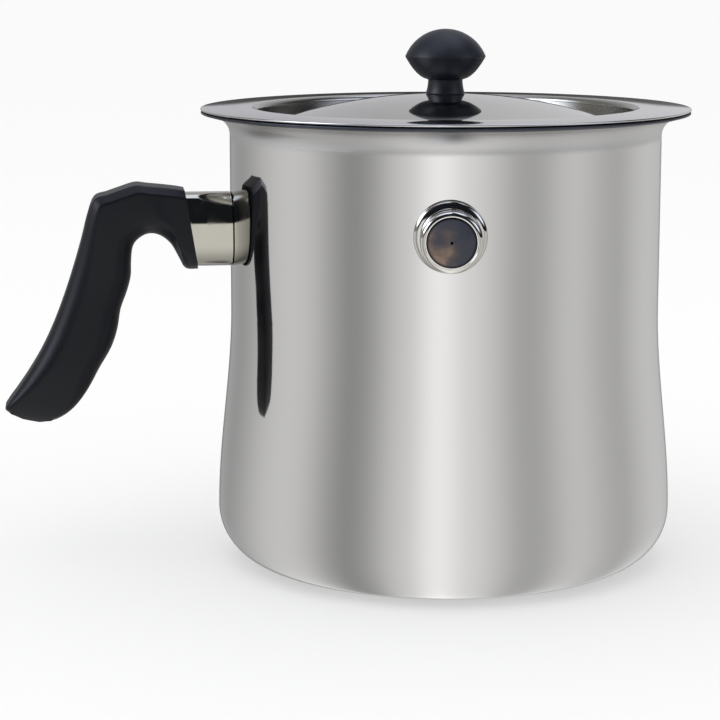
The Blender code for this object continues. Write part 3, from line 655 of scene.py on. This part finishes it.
# %% [markdown]
# ## Black phenolic
#
# Knob and grip are compression-moulded phenolic resin with wood flour: near black, a little blue, and with a
# soft gloss from the mould. The flour shows as a faint grain, and the mould's own polish as a very slight
# waviness, which both soften the reflections. The knob has been buffed after moulding, where the moulds met on
# its equator, and is a little glossier and bluer than the grip.

# %% Moulded phenolic
GRAIN_SIZE = 0.45 * MM
GRAIN_DEPTH = 0.002 * MM
WAVE_SIZE = 9 * MM
WAVE_DEPTH = 0.01 * MM
PHENOLIC_IOR = 1.55


def moulded_phenolic(name, dark, light, roughness, gloss_level):
    """Compression-moulded black phenolic with a soft gloss."""
    material, tree, shader = start_material(name)
    place = add_node(tree, "TexCoord").outputs["Object"]
    grain = add_node(tree, "TexNoise", Vector=place, Scale=1 / GRAIN_SIZE, Detail=3, Roughness=0.6)
    wave = add_node(tree, "TexNoise", Vector=place, Scale=1 / WAVE_SIZE, Detail=1)
    shade = add_node(tree, "ValToRGB", {"stops": [(NOISE_LOW, linear(dark)), (0.75, linear(light))]}, Fac=grain)
    gloss = add_node(tree, "MapRange", _0=grain, _1=NOISE_LOW, _2=NOISE_HIGH,
                     _3=roughness - 0.04, _4=roughness + 0.06)
    waves = add_node(tree, "Bump", Strength=1, Distance=WAVE_DEPTH, Height=wave)
    skin = add_node(tree, "Bump", Strength=1, Distance=GRAIN_DEPTH, Height=grain, Normal=waves)
    set_sockets(shader, Base_Color=shade, Roughness=gloss, Normal=skin,
                IOR=PHENOLIC_IOR, Specular_IOR_Level=gloss_level)
    return material


grip_phenolic = moulded_phenolic("phenolic resin, compression moulded", "#0a0c12", "#10131b",
                                 roughness=0.42, gloss_level=0.22)
knob_phenolic = moulded_phenolic("phenolic resin, compression moulded and buffed", "#10141e", "#181c28",
                                 roughness=0.42, gloss_level=0.33)
print("phenolic grain:", GRAIN_SIZE / MM, "mm")

# %% [markdown]
# ## The knob
#
# A mushroom with a domed crown, a sharp equator, and a bowl below that runs in to a short flared neck. It is a
# turned shape too. Its foot has a bore for the threaded brass insert, so the outline runs from the top of the
# crown round to the ceiling of the bore. The outline's zero is where the solid's foot ends, 0.3 mm over the
# lid, and here the foot goes on down to the dome, so that the brass doesn't show under it.

# %% Knob
KNOB_FOOT_HEIGHT = dome_height(0) + SEAT_GAP

crown = arc((0, 7.25), 15.6, 90, 22.4, 24)
equator = eased(crown[-1], (14.52, 13.0), (14.3, 12.65), 5)
bowl = eased((14.3, 12.65), (10.4, 5.7), (6.7, 4.95), 16)
neck = eased((6.7, 4.95), (6.15, 4.85), (6.2, 4.2), 6)
foot = eased((6.2, 4.2), (6.4, 1.5), (7, 0), 8) + [(6.97, -0.26), (6.85, -0.38)]
bore = [(4.3, -0.31), (4.1, 0.2), (4.1, 11.1), (0, 11.1)]
knob_line = crown + equator[1:] + bowl[1:] + neck[1:] + foot[1:] + bore
knob = turn_on_lathe("knob_mushroom", knob_line, steps=SMALL_STEPS)
move_to(knob, Z_AXIS * (KNOB_FOOT_HEIGHT * MM))
finish_piece(knob, knob_phenolic, "lid", "knob")

# %% [markdown]
# ## The filler
#
# The filler is a threaded socket welded into the wall, with a stepped ring outside, and a screwed cap with a
# whistle in it. Both are brass, turned and chrome plated. The plate is as bright as the steel, and has a faint
# haze here and there in place of polishing lines.

# %% Chrome plate
CHROME_ROUGHNESS = 0.04
HAZE_SIZE = 3 * MM

plated, tree, shader = start_material("brass, turned and chrome plated")
place = add_node(tree, "TexCoord").outputs["Object"]
haze = add_node(tree, "TexNoise", Vector=place, Scale=1 / HAZE_SIZE, Detail=3)
gloss = add_node(tree, "MapRange", _0=haze, _1=NOISE_LOW, _2=NOISE_HIGH,
                 _3=CHROME_ROUGHNESS * 0.7, _4=CHROME_ROUGHNESS * 1.4)
set_sockets(shader, Metallic=1, Base_Color=linear("#cfcdc7"), Roughness=gloss)
print("chrome haze:", HAZE_SIZE / MM, "mm")

# %% [markdown]
# The ring is first turned with a foot that is too deep, and then cut with a cylinder a little larger than the
# wall, so that it sits on the wall's curve with the gap of its weld. The tube is joined to it after that cut.

# %% The filler's ring
CORE_TOP = 150
CORE_LOW = 95
CORE_STEPS = 512


def cut_to_wall(piece):
    """Cut off the end of a piece that lies inside the wall, and the gap of its seam."""
    radius = WALL_RADIUS + SEAT_GAP
    core_line = [(0, CORE_TOP), (radius, CORE_TOP), (radius, CORE_LOW), (0, CORE_LOW)]
    combine(piece, turn_on_lathe("wall core", core_line, steps=CORE_STEPS), "DIFFERENCE")


ring_edge = eased((12.35, 0.5), (12.3, 1.7), (10.9, 2.08), 12)
ring_line = [(7, -1.8), (12.35, -1.8)] + ring_edge + [(7, 2.1)]
socket = turn_on_lathe("filler_ring", ring_line, closed=True, steps=SMALL_STEPS)
cut_to_wall(stand_on_filler(socket))
tube_line = [(6, 1.5), (6.2, 1.7), (8, 1.7), (8, -7), (6, -7)]
tube = turn_on_lathe("filler tube", tube_line, closed=True, steps=SMALL_STEPS)
combine(socket, stand_on_filler(tube), "UNION")
finish_piece(socket, plated, "pot", "filler_socket")

# %% [markdown]
# The cap is turned from one piece of brass and plated. A small bead and a groove stand below its rounded
# shoulder, and its face is very slightly crowned, with the whistle's hole in the middle.

# %% Cap
CAP_SEAT = 3.7
FACE_EDGE = 16.44
DISC_RADIUS = 8.3
WHISTLE_HOLE = 0.5

side = [(9.9, CAP_SEAT), (10.4, CAP_SEAT + 0.5), (10.4, 13.34)]
bead = arc((10.1, 13.64), 0.3, -20, 60, 5)
groove = [(10, 14.04), (9.97, 14.24)]
shoulder = arc((8.75, 15.04), 1.6, -35, 85, 14)
front = [(8.75, 16.54), (8.7, FACE_EDGE), (8.4, FACE_EDGE), (DISC_RADIUS, 16.69), (8.1, 16.78), (7.8, 16.79),
         (WHISTLE_HOLE, 16.84)]
whistle = [(WHISTLE_HOLE, 15.8), (2, 15.8), (2, 12.8), (2.7, 12.8), (2.7, -4.9)]
stud = [(5.2, -4.9), (5.7, -4.4), (5.7, CAP_SEAT)]
cap_line = side + bead + groove + shoulder + front + whistle + stud
cap = turn_on_lathe("cap_head", cap_line, closed=True, steps=SMALL_STEPS)
finish_piece(cap, plated, "cap", "filler_cap")

# %% [markdown]
# The cap's face is a chrome disc with a painted reflection in its colour: dark, as a mirror is in a dim room,
# and darkest round its edge, with a painted brown reflection at its lower left, in soft blotches. The disc's faces
# are the ones that point outward inside the bright shoulder. What was turned about an axis of its own is patterned
# by two measures: the distance from the axis, and the place along it.

# %% Painted reflection on the cap's face
REFLECTION_ACROSS = Vector((0.8, 0, 0.6))
REFLECTION_WIDTH = 19 * MM
REFLECTION_BLOTCH = 6 * MM
DARK_EDGE_FROM = 7.3 * MM
DARK_EDGE_AT = 8 * MM
DISC_ROUGHNESS = 0.13


def about_axis(tree, place, centre, axis):
    """A point's distance from an axis, and its place along it."""
    from_centre = add_node(tree, "VectorMath", "SUBTRACT", _0=place, _1=centre)
    across = add_node(tree, "VectorMath", "CROSS_PRODUCT", _0=from_centre, _1=axis)
    reach = add_node(tree, "VectorMath", "LENGTH", _0=across)
    along = add_node(tree, "VectorMath", "DOT_PRODUCT", _0=from_centre, _1=axis)
    return reach.outputs["Value"], along.outputs["Value"]


# The disc's dark colour, its brown blotches and its darker edge are a painted reflection of a dim room.
disc, tree, shader = start_material("chrome plate with a painted dark reflection")
place = add_node(tree, "TexCoord").outputs["Object"]
from_middle = add_node(tree, "VectorMath", "SUBTRACT", _0=place, _1=filler_middle)
across = add_node(tree, "VectorMath", "DOT_PRODUCT", _0=from_middle, _1=REFLECTION_ACROSS / REFLECTION_WIDTH)
blotch = add_node(tree, "TexNoise", Vector=place, Scale=1 / REFLECTION_BLOTCH, Detail=2, Roughness=0.5)
uneven = add_node(tree, "Math", "ADD", _0=across.outputs["Value"], _1=blotch)
painted_reflection = add_node(tree, "ValToRGB", {"stops": [(0.05, linear("#746459")), (0.28, linear("#504948")),
                                              (0.42, linear("#3f3f45")), (0.8, linear("#333640"))]}, Fac=uneven)
reach = about_axis(tree, place, filler_middle, filler_outward)[0]
# The darker edge is painted reflection too.
edge = add_node(tree, "MapRange", _0=reach, _1=DARK_EDGE_FROM, _2=DARK_EDGE_AT)
tint = add_node(tree, "Mix", {"data_type": "RGBA"}, _0=edge, _6=painted_reflection, _7=linear("#22242e"))
gloss = add_node(tree, "MapRange", _0=blotch, _1=NOISE_LOW, _2=NOISE_HIGH,
                 _3=DISC_ROUGHNESS + 0.03, _4=DISC_ROUGHNESS - 0.03)
set_sockets(shader, Metallic=1, Base_Color=tint.outputs[2], Roughness=gloss)
cap.data.materials.append(disc)
for face in cap.data.polygons:
    faces_out = face.center.z > FACE_EDGE * MM and face.normal.z > cos(SHARP_ANGLE)
    face.material_index = int(faces_out and hypot(*face.center.xy) < DISC_RADIUS * MM)
stand_on_filler(cap)
print(sum(face.material_index for face in cap.data.polygons), "faces with the painted reflection")

# %% [markdown]
# ## The ferrule
#
# A short polished sleeve covers the joint between the wall and the grip. Its outline is a rounded rectangle
# with slightly bulged sides. It is drawn inside the pot, extruded outward, cut off along the grip's slanted end
# face, given its thickness, and cut to the wall's curve like the filler's ring.

# %% Ferrule
FERRULE_WAIST = 118.9
FERRULE_TOP = 16.7
FERRULE_BOTTOM = 9.8
FERRULE_HALF_WIDTH = 8.7
FERRULE_SHEET = 0.7
FERRULE_SEAT = 2.2
SQUARENESS = 2 / 2.9
OUTLINE_POINTS = 96
DRAWN_AT = 70
STOCK_LENGTH = 40
END_TOP = (94.62, 136.85)
END_BOTTOM = (90, 108.2)


def ferrule_outline(growth):
    """The ferrule's outline, drawn inside the pot and grown by a clearance, in metres."""
    points = []
    for i in range(OUTLINE_POINTS):
        angle = 2 * pi * i / OUTLINE_POINTS
        aside, up = [copysign(abs(share) ** SQUARENESS, share) for share in (cos(angle), sin(angle))]
        half_height = (FERRULE_TOP if up > 0 else FERRULE_BOTTOM) + growth
        points.append((-DRAWN_AT * MM, (FERRULE_HALF_WIDTH + growth) * aside * MM,
                       (FERRULE_WAIST + half_height * up) * MM))
    return points


def sleeve_to_grip(name, growth, depth, filled):
    """The ferrule's outline extruded to a depth behind the grip's slanted end face, as a sleeve or a solid."""
    piece = draw(name, ferrule_outline(growth), closed=True)
    bpy.ops.mesh.remove_doubles(threshold=MERGE_DISTANCE)
    if filled:
        bpy.ops.mesh.edge_face_add()
    bpy.ops.mesh.extrude_region_move(TRANSFORM_OT_translate={"value": (-STOCK_LENGTH * MM, 0, 0)})
    bpy.ops.mesh.select_all(action="SELECT")
    slant = Vector((END_TOP[0] - END_BOTTOM[0], END_TOP[1] - END_BOTTOM[1])).normalized()
    bpy.ops.mesh.bisect(plane_co=(-(END_BOTTOM[0] + depth) * MM, 0, END_BOTTOM[1] * MM),
                        plane_no=(-slant.y, 0, -slant.x), clear_outer=True, use_fill=filled)
    clean_up()
    return piece


ferrule = sleeve_to_grip("ferrule_sleeve", 0, FERRULE_SEAT, filled=False)
apply_modifier(ferrule, "SOLIDIFY", thickness=FERRULE_SHEET * MM, offset=-1, use_even_offset=True)
cut_to_wall(ferrule)
print("ferrule:", [round(v / MM, 1) for v in ferrule.dimensions], "mm")

# %% [markdown]
# The ferrule is buffed by hand, between the wall and the grip. That leaves it a little uneven, in patches a few
# millimetres across. Towards its bottom it is painted darker, as shade.

# %% Buffed steel
PATCH_SIZE = 5 * MM
PATCH_ROUGHNESS = 0.11
PATCH_FROM = 0.4
PATCH_AT = 0.62
FERRULE_SHADE_FROM = 117.5 * MM
FERRULE_SHADE_BELOW = 109.5 * MM

ferrule_steel = polished_steel("stainless steel tube, buffed", "#b9b6ab", roughness=0.05, lines="UPRIGHT")
tree = ferrule_steel.node_tree
height = height_and_reach(tree)[0]
place = add_node(tree, "TexCoord").outputs["Object"]
patches = add_node(tree, "TexNoise", Vector=place, Scale=1 / PATCH_SIZE, Detail=2)
turn_satin(ferrule_steel, PATCH_ROUGHNESS, patches, PATCH_FROM, PATCH_AT)
# The ferrule's lower part is darkened by painted shade.
painted_underside_shade = add_node(tree, "MapRange", smooth, _0=height, _1=FERRULE_SHADE_FROM, _2=FERRULE_SHADE_BELOW)
paint_shade_into_steel(ferrule_steel, painted_underside_shade, "#74726b")
finish_piece(ferrule, ferrule_steel, "pot", "ferrule")

# %% [markdown]
# ## The grip
#
# The grip is a moulded hook with a flat back, a long chamfer on each of its four edges, and bumps for the
# fingers. Nineteen stations describe it, each by a point on its back, a point on its finger side, and its width.
# A smooth curve through the stations gives the rings that lie between them.

# %% Stations of the grip
STATIONS = (  # back (reach, height), finger side (reach, height), width
    ((94.6, 136.8), (90.0, 108.2), 20.2), ((98.0, 137.4), (94.3, 108.5), 20.4),
    ((103.0, 138.0), (96.6, 112.1), 20.6), ((108.0, 138.5), (99.6, 117.5), 21.0),
    ((112.0, 138.9), (103.5, 120.7), 21.0), ((117.0, 137.4), (107.5, 121.4), 21.0),
    ((122.0, 135.7), (111.0, 119.7), 21.0), ((126.6, 134.0), (113.2, 116.8), 21.0),
    ((129.2, 127.4), (113.9, 111.5), 21.0), ((131.6, 118.6), (114.1, 106.1), 20.6),
    ((134.5, 109.1), (115.6, 100.4), 20.2), ((138.0, 98.8), (117.9, 94.2), 20.2),
    ((141.9, 88.9), (119.2, 87.0), 20.6), ((146.0, 80.3), (121.6, 80.2), 21.0),
    ((150.6, 72.5), (125.9, 73.0), 21.0), ((155.3, 65.5), (130.0, 65.8), 19.9),
    ((158.7, 60.8), (135.0, 59.3), 17.2), ((159.5, 58.3), (141.0, 54.9), 13.0),
    ((154.0, 54.8), (147.5, 53.4), 7.6),
)
RINGS_PER_STATION = 4


def between(before, start, end, after, t):
    """A point on the smooth curve between start and end, given the points before and after them."""
    bend = (2 * before - 5 * start + 4 * end - after) * t ** 2
    twist = (3 * start - before - 3 * end + after) * t ** 3
    return start + ((end - before) * t + bend + twist) / 2


rows = [Vector((*back, *finger, width)) for back, finger, width in STATIONS]
rings = []
for i in range(len(rows) - 1):
    near = [rows[min(max(i + k, 0), len(rows) - 1)] for k in (-1, 0, 1, 2)]
    rings += [between(*near, step / RINGS_PER_STATION) for step in range(RINGS_PER_STATION)]
rings.append(rows[-1])
print(len(rings), "rings from", len(STATIONS), "stations")

# %% [markdown]
# Each ring is a middle, the direction from its middle to its back, its depth and its width. The two wide sides
# are slightly crowned: each has a point halfway along that stands a little further out than the corners. The
# first ring is drawn point by point and filled, and then extruded from ring to ring: moved, turned and resized,
# in the ring's own directions.

# %% Extrude the grip
CROWN = 0.02


def ring_facts(row):
    """The middle, the direction to the back, the depth and the width of a ring, in metres."""
    back = Vector((-row[0], 0, row[1])) * MM
    finger = Vector((-row[2], 0, row[3])) * MM
    return (back + finger) / 2, (back - finger).normalized(), (back - finger).length, row[4] * MM


middle, toward_back, depth, width = ring_facts(rings[0])
half_ring = [(0.5, -0.5 + CROWN), (0, -0.5), (-0.5, -0.5 + CROWN)]
first_ring = half_ring + [(-along, -across) for along, across in half_ring]
grip = draw("grip", [middle + toward_back * depth * along + Vector((0, width * across, 0))
                     for along, across in first_ring], closed=True)
bpy.ops.mesh.remove_doubles(threshold=MERGE_DISTANCE)
bpy.ops.mesh.edge_face_add()
for row in rings[1:]:
    next_middle, next_back, next_depth, next_width = ring_facts(row)
    bpy.ops.mesh.extrude_region_move(TRANSFORM_OT_translate={"value": next_middle - middle})
    turn = toward_back.xz.angle_signed(next_back.xz)
    bpy.ops.transform.rotate(value=-turn, orient_axis="Y", center_override=next_middle)
    own_axes = Matrix((next_back, Vector((0, 1, 0)), next_back.cross(Vector((0, 1, 0))))).transposed()
    bpy.ops.transform.resize(value=(next_depth / depth, next_width / width, 1), orient_matrix=own_axes,
                             orient_matrix_type="GLOBAL", center_override=next_middle)
    middle, toward_back, depth, width = next_middle, next_back, next_depth, next_width
bpy.ops.mesh.select_all(action="SELECT")
bpy.ops.mesh.normals_make_consistent(inside=False)
bpy.ops.object.mode_set(mode="OBJECT")
print("grip:", len(grip.data.vertices), "vertices,", [round(v / MM, 1) for v in grip.dimensions], "mm")

# %% [markdown]
# The four long edges are then bevelled twice by a modifier that goes by each edge's weight: once flat, for the
# chamfer, and once round, where each chamfer meets the sides. On the top of the grip the chamfers are narrow
# and crisp. Lower down they grow, and melt into a full round that fits the palm, and they shrink again at the tip.

# %% Chamfers
CHAMFER_SIZES = ((54, 0.8), (61, 1), (70, 4.2), (112, 4.2), (131, 2.6))  # (height, size) in millimetres
ROUND_SIZES = ((54, 0.4), (61, 0.45), (70, 2.6), (112, 2.6), (131, 0.6))


def size_at(height, sizes):
    """The size at a height, read from a table of (height, size)."""
    for (low, low_size), (high, high_size) in zip(sizes, sizes[1:]):
        if height <= high:
            return low_size + (high_size - low_size) * max(height - low, 0) / (high - low)
    return sizes[-1][1]


def bevel_by_height(piece, sizes, segments, least_angle, most_angle):
    """Bevel the long edges whose faces meet at an angle in a range, by a size that depends on the height.

    The hook's two end faces are the ones with more than four corners, and their edges stay sharp.
    """
    sides = {}
    for face in piece.data.polygons:
        for key in face.edge_keys:
            sides.setdefault(key, []).append(face)
    largest = max(size for _, size in sizes)
    name = "bevel_weight_edge"
    weights = piece.data.attributes.get(name) or piece.data.attributes.new(name, "FLOAT", "EDGE")
    for edge in piece.data.edges:
        first, second = sides[edge.key]
        at_an_end = max(len(first.vertices), len(second.vertices)) > 4
        chosen = not at_an_end and radians(least_angle) < first.normal.angle(second.normal) < radians(most_angle)
        height = piece.data.vertices[edge.vertices[0]].co.z / MM
        weights.data[edge.index].value = size_at(height, sizes) / largest if chosen else 0
    apply_modifier(piece, "BEVEL", limit_method="WEIGHT", width=largest * MM, segments=segments,
                   use_clamp_overlap=False)
    print(piece.name, "bevelled:", len(piece.data.vertices), "vertices")


bevel_by_height(grip, CHAMFER_SIZES, segments=1, least_angle=50, most_angle=115)
bevel_by_height(grip, ROUND_SIZES, segments=4, least_angle=30, most_angle=58)
bpy.ops.object.mode_set(mode="EDIT")
clean_up()

# %% [markdown]
# Then the moulding's two holes are cut: the socket that the ferrule slides into, and the counterbored hole for
# the long screw that pulls the grip against the wall. A weighted normal modifier keeps the flats flat next to
# the small rounds.

# %% Socket and screw hole
SOCKET_DEPTH = 2.5
COUNTERBORE_RADIUS = 4.1
COUNTERBORE_FLOOR = 119.3
SHANK_RADIUS = 2.3

combine(grip, sleeve_to_grip("socket core", SEAT_GAP, SOCKET_DEPTH, filled=True), "DIFFERENCE")
drill_line = [(0, 170), (COUNTERBORE_RADIUS, 170), (COUNTERBORE_RADIUS, COUNTERBORE_FLOOR),
              (SHANK_RADIUS, COUNTERBORE_FLOOR), (SHANK_RADIUS, 85), (0, 85)]
drill = turn_on_lathe("drill", drill_line, steps=HOLE_STEPS)
combine(grip, move_to(drill, Z_AXIS * (SCREW_HEIGHT * MM), Vector((-1, 0, 0))), "DIFFERENCE")
apply_modifier(grip, "WEIGHTED_NORMAL", keep_sharp=True)
finish_piece(grip, grip_phenolic, "pot", "handle_grip")

# %% [markdown]
# ## The hidden parts
#
# Eight small parts sit out of sight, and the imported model's own shapes serve for them: the knob's threaded
# insert, its washer and screw, the filler's seal, the whistle's disc, and the handle's bracket, washer and
# screw. Each gets the finish of the real part. A lathe leaves fine rings round a turned part's axis. Their real
# spacing is about 0.1 mm, and they are drawn three times as wide so that they show.

# %% Turned brass and plated steel
FEED = 0.3 * MM
RING_DEPTH = 0.002 * MM
TARNISH_SIZE = 2.5 * MM


def turned_metal(name, colour, dull_colour, roughness, centre, axis):
    """Metal from the lathe: fine rings round its axis, and a colour that has dulled in places."""
    material, tree, shader = start_material(name)
    place = add_node(tree, "TexCoord").outputs["Object"]
    reach, along = about_axis(tree, place, centre, axis)
    on_rings = add_node(tree, "CombineXYZ", X=reach, Y=0, Z=along)
    rings = add_node(tree, "TexNoise", Vector=on_rings, Scale=1 / FEED, Detail=1)
    tarnish = add_node(tree, "TexNoise", Vector=place, Scale=1 / TARNISH_SIZE, Detail=3)
    shade = add_node(tree, "ValToRGB", {"stops": [(0.35, linear(dull_colour)), (0.65, linear(colour))]}, Fac=tarnish)
    gloss = add_node(tree, "MapRange", _0=tarnish, _1=NOISE_LOW, _2=NOISE_HIGH,
                     _3=roughness * 1.4, _4=roughness * 0.8)
    marks = add_node(tree, "Bump", Strength=1, Distance=RING_DEPTH, Height=rings)
    set_sockets(shader, Metallic=1, Base_Color=shade, Roughness=gloss, Normal=marks)
    return material


BRASS = ("#d9b066", "#b98f4c", 0.24)  # bright colour, dull colour, roughness
PLATED_STEEL = ("#b9bbbd", "#9fa1a3", 0.3)
knob_brass = turned_metal("brass, turned, in the knob", *BRASS, Vector(), Z_AXIS)
disc_brass = turned_metal("brass, turned, in the whistle", *BRASS, filler_middle, filler_outward)
knob_zinc = turned_metal("steel, zinc plated, under the lid", *PLATED_STEEL, Vector(), Z_AXIS)
handle_zinc = turned_metal("steel, zinc plated, in the handle", *PLATED_STEEL, Z_AXIS * (SCREW_HEIGHT * MM),
                           Vector((1, 0, 0)))
print("turning marks:", FEED / MM, "mm apart")

# %% [markdown]
# The filler's seal is black silicone rubber from a matt mould, so it has no gloss, and a dusty bloom in places.
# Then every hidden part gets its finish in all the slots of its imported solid.

# %% Silicone rubber, and the finish of the hidden parts
RUBBER_IOR = 1.41
RUBBER_ROUGHNESS = 0.65

rubber, tree, shader = start_material("silicone rubber, moulded")
place = add_node(tree, "TexCoord").outputs["Object"]
skin = add_node(tree, "TexNoise", Vector=place, Scale=1 / GRAIN_SIZE, Detail=2)
bloom = add_node(tree, "ValToRGB", {"stops": [(0.35, linear("#1d1d1f")), (0.75, linear("#2a2a2d"))]}, Fac=skin)
matt = add_node(tree, "MapRange", _0=skin, _1=NOISE_LOW, _2=NOISE_HIGH,
                _3=RUBBER_ROUGHNESS - 0.1, _4=RUBBER_ROUGHNESS + 0.1)
bump = add_node(tree, "Bump", Strength=1, Distance=GRAIN_DEPTH, Height=skin)
set_sockets(shader, Base_Color=bloom, Roughness=matt, Normal=bump, IOR=RUBBER_IOR)

HIDDEN_PARTS = {
    "knob_insert": knob_brass, "whistle_disc": disc_brass, "knob_washer": knob_zinc, "knob_screw": knob_zinc,
    "handle_bracket": handle_zinc, "handle_washer": handle_zinc, "handle_screw": handle_zinc, "filler_seal": rubber,
}
for name, material in HIDDEN_PARTS.items():
    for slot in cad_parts[name].material_slots:
        slot.material = material
print(len(HIDDEN_PARTS), "hidden parts have their finish")
